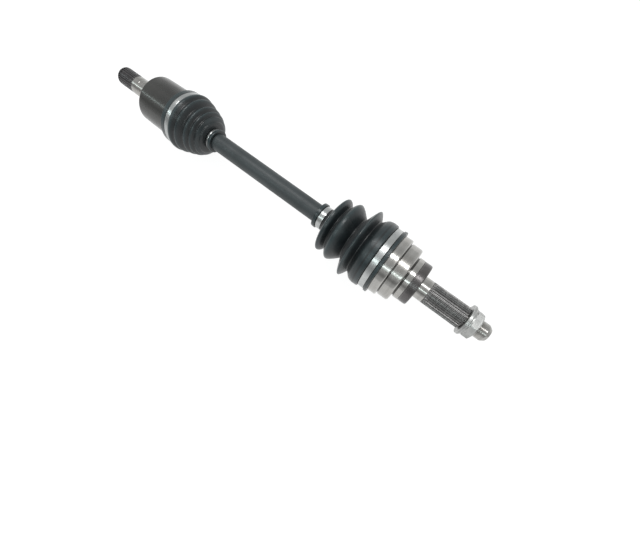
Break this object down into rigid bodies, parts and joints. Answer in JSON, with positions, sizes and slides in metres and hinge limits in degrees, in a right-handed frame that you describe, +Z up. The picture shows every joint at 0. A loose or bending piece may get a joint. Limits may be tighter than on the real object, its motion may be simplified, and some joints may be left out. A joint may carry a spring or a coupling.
{
  "type": "cv axle",
  "caption": "Drive axle with a fixed ball joint and a plunging tripod joint under pleated boots, a splined hub stub with washer and nut, and a splined gearbox stub.",
  "frame": {"origin": "on the spin axis, halfway along the axle between the tips of the two stubs", "axes": "+X along the spin axis towards the wheel, +Z up"},
  "size_m": [0.614, 0.0924, 0.0924],
  "materials": {
    "shaft_paint": "satin",
    "machined_steel": "turned",
    "dark_ring": "satin",
    "housing_coat": "satin",
    "boot_rubber": "satin",
    "clamp_steel": "bright",
    "zinc": "bright",
    "bearing_steel": "ground",
    "race_steel": "ground",
    "spring_steel": "blued"
  },
  "bodies": {
    "shaft_assembly": {"axle_shaft": "shaft_paint", "outer_inner_race": "race_steel", "outer_race_circlip": "spring_steel", "outer_boot_small_clamp": "clamp_steel", "inner_boot_small_clamp": "clamp_steel", "tripod_spider": "race_steel", "spider_end_circlip": "spring_steel", "spider_shaft_circlip": "spring_steel", "needle_set_2": "bearing_steel", "needle_set_3": "bearing_steel", "roller_retainer_1": "spring_steel", "roller_retainer_2": "spring_steel", "roller_retainer_3": "spring_steel"},
    "ball_pair": {"outer_ball_2": "bearing_steel", "outer_ball_5": "bearing_steel"},
    "cage_assembly": {"outer_cage": "race_steel", "outer_ball_1": "bearing_steel", "outer_ball_3": "bearing_steel", "outer_ball_4": "bearing_steel", "outer_ball_6": "bearing_steel"},
    "outer_boot_body": {"outer_boot": "boot_rubber"},
    "bell_assembly": {"outer_bell": "machined_steel", "dust_ring": "dark_ring", "outer_boot_large_clamp": "clamp_steel"},
    "washer_body": {"hub_washer": "zinc"},
    "nut_body": {"hub_nut": "zinc"},
    "needle_body": {"needle_set_1": "bearing_steel"},
    "inner_boot_body": {"inner_boot": "boot_rubber"},
    "housing_assembly": {"inner_housing": "housing_coat", "stub_circlip": "spring_steel", "mouth_retaining_ring": "spring_steel", "inner_boot_large_clamp": "clamp_steel"},
    "roller_body_1": {"tripod_roller_1": "bearing_steel"},
    "roller_body_2": {"tripod_roller_2": "bearing_steel"},
    "roller_body_3": {"tripod_roller_3": "bearing_steel"}
  },
  "joints": [
    {"name": "outer_steer_shaft_side", "type": "hinge", "parent": "shaft_assembly", "child": "ball_pair", "pos_m": [0.1705, 0, 0], "axis": [0, 0, 1], "range_deg": [-21, 21]},
    {"name": "outer_jounce_shaft_side", "type": "hinge", "parent": "ball_pair", "child": "cage_assembly", "pos_m": [0.1705, 0, 0], "axis": [0, 1, 0], "range_deg": [-6, 6]},
    {"name": "outer_jounce_wheel_side", "type": "hinge", "parent": "cage_assembly", "child": "outer_boot_body", "pos_m": [0.1705, 0, 0], "axis": [0, 1, 0], "range_deg": [-6, 6], "deforming": ["outer_boot"]},
    {"name": "outer_steer_wheel_side", "type": "hinge", "parent": "outer_boot_body", "child": "bell_assembly", "pos_m": [0.1705, 0, 0], "axis": [0, 0, 1], "range_deg": [-21, 21]},
    {"name": "nut_travel", "type": "slide", "parent": "bell_assembly", "child": "washer_body", "axis": [1, 0, 0], "range_m": [0, 0.012]},
    {"name": "nut_turn", "type": "hinge", "parent": "washer_body", "child": "nut_body", "pos_m": [0.1705, 0, 0], "axis": [1, 0, 0], "range_deg": [0, 2880]},
    {"name": "inner_steer", "type": "hinge", "parent": "shaft_assembly", "child": "needle_body", "pos_m": [-0.203, 0, 0], "axis": [0, 0, 1], "range_deg": [-8, 8]},
    {"name": "inner_jounce", "type": "hinge", "parent": "needle_body", "child": "inner_boot_body", "pos_m": [-0.203, 0, 0], "axis": [0, 1, 0], "range_deg": [-15, 15], "deforming": ["inner_boot"]},
    {"name": "inner_plunge", "type": "slide", "parent": "inner_boot_body", "child": "housing_assembly", "axis": [1, 0, 0], "range_m": [-0.014, 0.0085]},
    {"name": "roller_1_spin", "type": "hinge", "parent": "shaft_assembly", "child": "roller_body_1", "pos_m": [-0.203, 0, 0], "axis": [0, 0, 1], "range_deg": [-58, 35]},
    {"name": "roller_2_spin", "type": "hinge", "parent": "shaft_assembly", "child": "roller_body_2", "pos_m": [-0.203, 0, 0], "axis": [0, -0.866, -0.5], "range_deg": [-58, 35]},
    {"name": "roller_3_spin", "type": "hinge", "parent": "shaft_assembly", "child": "roller_body_3", "pos_m": [-0.203, 0, 0], "axis": [0, 0.866, -0.5], "range_deg": [-58, 35]}
  ],
  "couplings": [
    {"joint": "outer_jounce_wheel_side", "follows": "outer_jounce_shaft_side", "ratio": 1},
    {"joint": "outer_steer_wheel_side", "follows": "outer_steer_shaft_side", "ratio": 1},
    {"joint": "nut_travel", "follows": "nut_turn", "m_per_rad": 0.00023873},
    {"joint": "roller_1_spin", "follows": "inner_plunge", "rad_per_m": 71.429},
    {"joint": "roller_2_spin", "follows": "inner_plunge", "rad_per_m": 71.429},
    {"joint": "roller_3_spin", "follows": "inner_plunge", "rad_per_m": 71.429}
  ]
}
